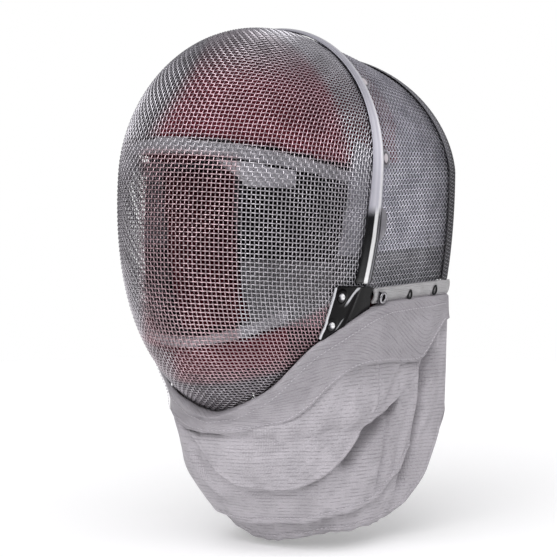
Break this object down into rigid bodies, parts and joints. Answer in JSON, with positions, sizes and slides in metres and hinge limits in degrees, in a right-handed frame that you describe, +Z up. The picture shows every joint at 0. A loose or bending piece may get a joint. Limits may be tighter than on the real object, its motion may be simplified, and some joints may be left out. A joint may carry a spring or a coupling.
{
  "type": "fencing mask",
  "caption": "Sabre fencing mask with a wire-mesh face and side shell on a steel rim, riveted jaw brackets, padded red lining, elastic rear strap and a layered light grey cloth bib.",
  "frame": {"origin": "where the wearer's crown meets the forehead pad, on the centre line", "axes": "+Z up with the mask upright as worn, -Y the way the face looks, +X the wearer's left"},
  "size_m": [0.2034, 0.2454, 0.3839],
  "materials": {
    "face_wire": "satin bright woven wire",
    "side_wire": "satin finer woven wire",
    "polished_steel": "polished",
    "dark_steel": "glossy near-black",
    "edging": "matt dark grey",
    "bib_cloth": "fine ribbed cloth with a faint metallic sheen",
    "red_lining": "matt dark red padded cloth",
    "grey_binding": "matt light grey cloth",
    "strap": "ribbed light grey elastic",
    "dark_cloth": "matt black cloth"
  },
  "bodies": {
    "root": {"face_mesh": "face_wire", "side_mesh": "side_wire", "rim_band": "polished_steel", "rear_edging": "edging", "jaw_bracket_left": "dark_steel", "jaw_bracket_right": "dark_steel", "bracket_rivet_left_1": "dark_steel", "bracket_rivet_left_2": "dark_steel", "bracket_rivet_right_1": "dark_steel", "bracket_rivet_right_2": "dark_steel", "rim_clip_left_1": "polished_steel", "rim_clip_left_2": "polished_steel", "rim_clip_left_3": "polished_steel", "rim_clip_right_1": "polished_steel", "rim_clip_right_2": "polished_steel", "rim_clip_right_3": "polished_steel", "edge_rivet_left": "dark_steel", "edge_rivet_right": "dark_steel", "side_trim_left": "bib_cloth", "side_trim_right": "bib_cloth", "eyelet_tab_left": "dark_steel", "eyelet_tab_right": "dark_steel", "trim_eyelet_left": "polished_steel", "trim_eyelet_right": "polished_steel", "trim_loop_left_1": "dark_cloth", "trim_loop_left_2": "dark_cloth", "trim_loop_right_1": "dark_cloth", "trim_loop_right_2": "dark_cloth", "bib_base": "bib_cloth", "bib_collar": "bib_cloth", "bib_cover": "bib_cloth", "forehead_pad": "red_lining", "brow_band": "grey_binding", "brow_tab_left": "grey_binding", "brow_tab_right": "grey_binding", "cheek_pad_left": "red_lining", "cheek_pad_right": "red_lining", "chin_band": "grey_binding", "chin_pad": "red_lining", "back_strap": "strap", "rear_tongue": "dark_cloth"}
  },
  "joints": []
}
